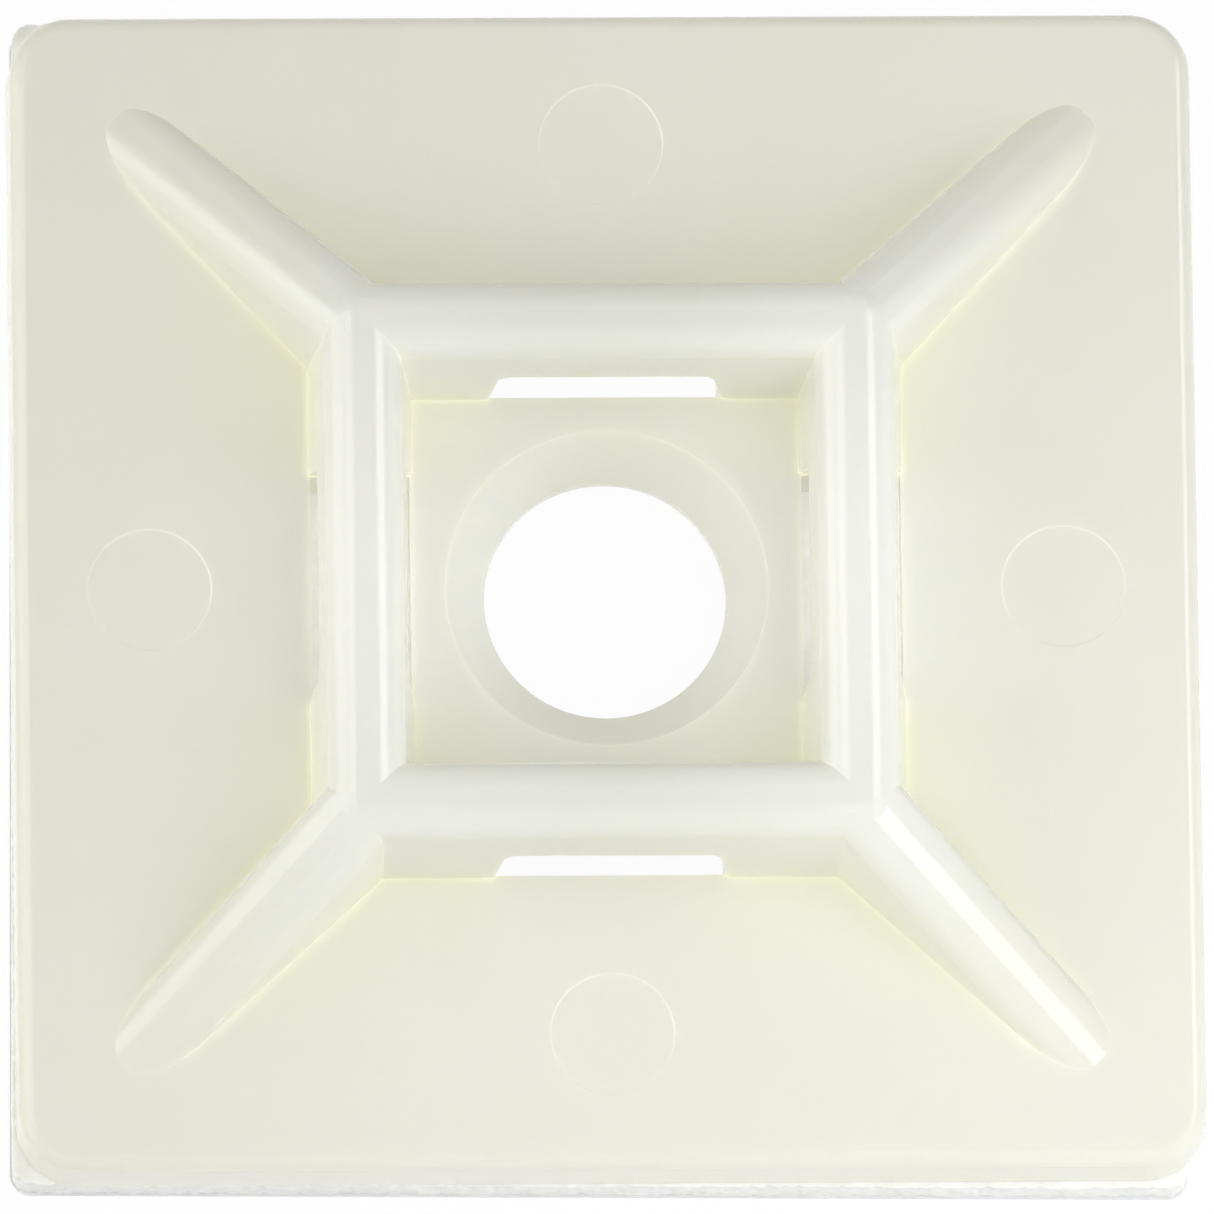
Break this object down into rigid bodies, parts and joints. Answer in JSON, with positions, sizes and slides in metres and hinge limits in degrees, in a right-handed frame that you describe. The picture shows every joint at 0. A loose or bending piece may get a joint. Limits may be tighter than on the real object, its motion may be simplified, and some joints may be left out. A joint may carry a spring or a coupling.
{
  "type": "cable tie mount",
  "caption": "Self-adhesive cable tie mount: square plate with a raised square frame, a tie slot under each wall, sloping corner ribs, a countersunk screw hole and a foam tape with its liner.",
  "frame": {"origin": "middle of the underside, at the release liner's lower face, on the screw hole's axis", "axes": "+Z out of the plate towards the top of the frame, +X and +Y along the plate's sides"},
  "size_m": [0.0281, 0.0284, 0.0061],
  "materials": {
    "nylon": "natural translucent nylon, satin gloss",
    "foam": "white closed-cell foam, cut edge",
    "liner": "smooth coated release paper"
  },
  "bodies": {
    "root": {"mount_body": "nylon", "foam_tape": "foam", "release_liner": "liner"}
  },
  "joints": []
}
